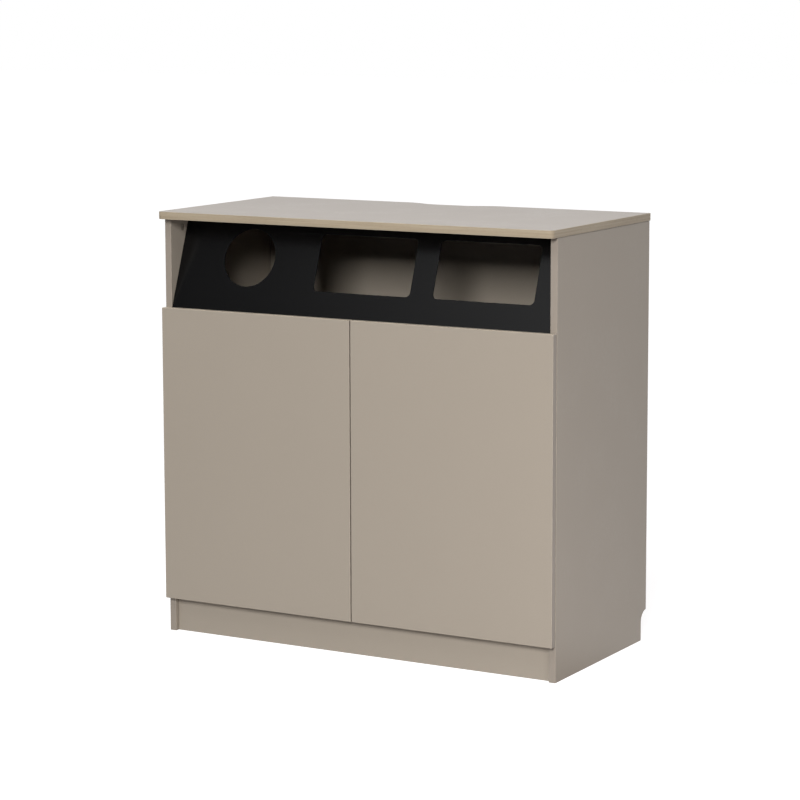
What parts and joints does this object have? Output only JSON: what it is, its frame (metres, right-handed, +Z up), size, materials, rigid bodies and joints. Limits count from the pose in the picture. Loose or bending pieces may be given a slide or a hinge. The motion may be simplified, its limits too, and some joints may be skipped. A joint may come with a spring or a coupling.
{
  "type": "waste-sorting cabinet",
  "caption": "Laminated waste-sorting cabinet with hinged doors on concealed hinges, a leaning steel panel with round and rectangular drop openings, and bins inside.",
  "frame": {"origin": "on the floor, under the middle of the cabinet's footprint", "axes": "+X to the right as seen from the front, -Y to the front, +Z up"},
  "size_m": [1, 0.49, 0.975],
  "materials": {
    "taupe_laminate": "matt taupe melamine on chipboard",
    "top_laminate": "matt light grey-taupe laminate on chipboard",
    "wood_look_band": "printed wood-look edging",
    "black_powder_coat": "satin black powder coat",
    "nickel_plated_steel": "nickel-plated",
    "zinc_cam": "plain die-cast zinc",
    "beech": "plain beech",
    "bumper_plastic": "soft translucent",
    "bin_plastic": "moulded dark grey"
  },
  "bodies": {
    "carcass": {"top_board": "top_laminate", "top_edge_band": "wood_look_band", "left_side_panel": "taupe_laminate", "right_side_panel": "taupe_laminate", "back_panel": "taupe_laminate", "bottom_board": "taupe_laminate", "plinth_board": "taupe_laminate", "sorting_panel": "black_powder_coat", "left_lower_panel_screw": "nickel_plated_steel", "left_upper_panel_screw": "nickel_plated_steel", "right_lower_panel_screw": "nickel_plated_steel", "right_upper_panel_screw": "nickel_plated_steel", "left_lower_hinge_arm": "nickel_plated_steel", "left_lower_hinge_plate": "nickel_plated_steel", "left_upper_hinge_arm": "nickel_plated_steel", "left_upper_hinge_plate": "nickel_plated_steel", "right_lower_hinge_arm": "nickel_plated_steel", "right_lower_hinge_plate": "nickel_plated_steel", "right_upper_hinge_arm": "nickel_plated_steel", "right_upper_hinge_plate": "nickel_plated_steel", "left_front_top_cam": "zinc_cam", "left_rear_top_cam": "zinc_cam", "right_front_top_cam": "zinc_cam", "right_rear_top_cam": "zinc_cam", "left_front_bottom_cam": "zinc_cam", "left_rear_bottom_cam": "zinc_cam", "right_front_bottom_cam": "zinc_cam", "right_rear_bottom_cam": "zinc_cam", "left_front_top_cam_bolt": "nickel_plated_steel", "left_rear_top_cam_bolt": "nickel_plated_steel", "right_front_top_cam_bolt": "nickel_plated_steel", "right_rear_top_cam_bolt": "nickel_plated_steel", "left_front_bottom_cam_bolt": "nickel_plated_steel", "left_rear_bottom_cam_bolt": "nickel_plated_steel", "right_front_bottom_cam_bolt": "nickel_plated_steel", "right_rear_bottom_cam_bolt": "nickel_plated_steel", "left_lower_back_dowel": "beech", "left_upper_back_dowel": "beech", "left_plinth_dowel": "beech", "right_lower_back_dowel": "beech", "right_upper_back_dowel": "beech", "right_plinth_dowel": "beech", "round_slot_bin": "bin_plastic", "middle_bin": "bin_plastic", "right_bin": "bin_plastic"},
    "left_links": {"left_lower_hinge_link": "nickel_plated_steel", "left_upper_hinge_link": "nickel_plated_steel"},
    "left_door": {"left_door": "taupe_laminate", "left_lower_hinge_cup": "nickel_plated_steel", "left_upper_hinge_cup": "nickel_plated_steel", "left_lower_bumper": "bumper_plastic", "left_upper_bumper": "bumper_plastic"},
    "right_links": {"right_lower_hinge_link": "nickel_plated_steel", "right_upper_hinge_link": "nickel_plated_steel"},
    "right_door": {"right_door": "taupe_laminate", "right_lower_hinge_cup": "nickel_plated_steel", "right_upper_hinge_cup": "nickel_plated_steel", "right_lower_bumper": "bumper_plastic", "right_upper_bumper": "bumper_plastic"}
  },
  "joints": [
    {"name": "left_link_swing", "type": "hinge", "parent": "carcass", "child": "left_links", "pos_m": [-0.462, -0.209, 0.4175], "axis": [0, 0, 1], "range_deg": [0, 36.1]},
    {"name": "left_door_swing", "type": "hinge", "parent": "left_links", "child": "left_door", "pos_m": [-0.4865, -0.2215, 0.4175], "axis": [0, 0, -1], "range_deg": [0, 146]},
    {"name": "right_link_swing", "type": "hinge", "parent": "carcass", "child": "right_links", "pos_m": [0.462, -0.209, 0.4175], "axis": [0, 0, -1], "range_deg": [0, 36.1]},
    {"name": "right_door_swing", "type": "hinge", "parent": "right_links", "child": "right_door", "pos_m": [0.4865, -0.2215, 0.4175], "axis": [0, 0, 1], "range_deg": [0, 146]}
  ],
  "couplings": [
    {"joint": "left_link_swing", "follows": "left_door_swing", "ratio": 0.2466},
    {"joint": "right_link_swing", "follows": "right_door_swing", "ratio": 0.2466}
  ]
}
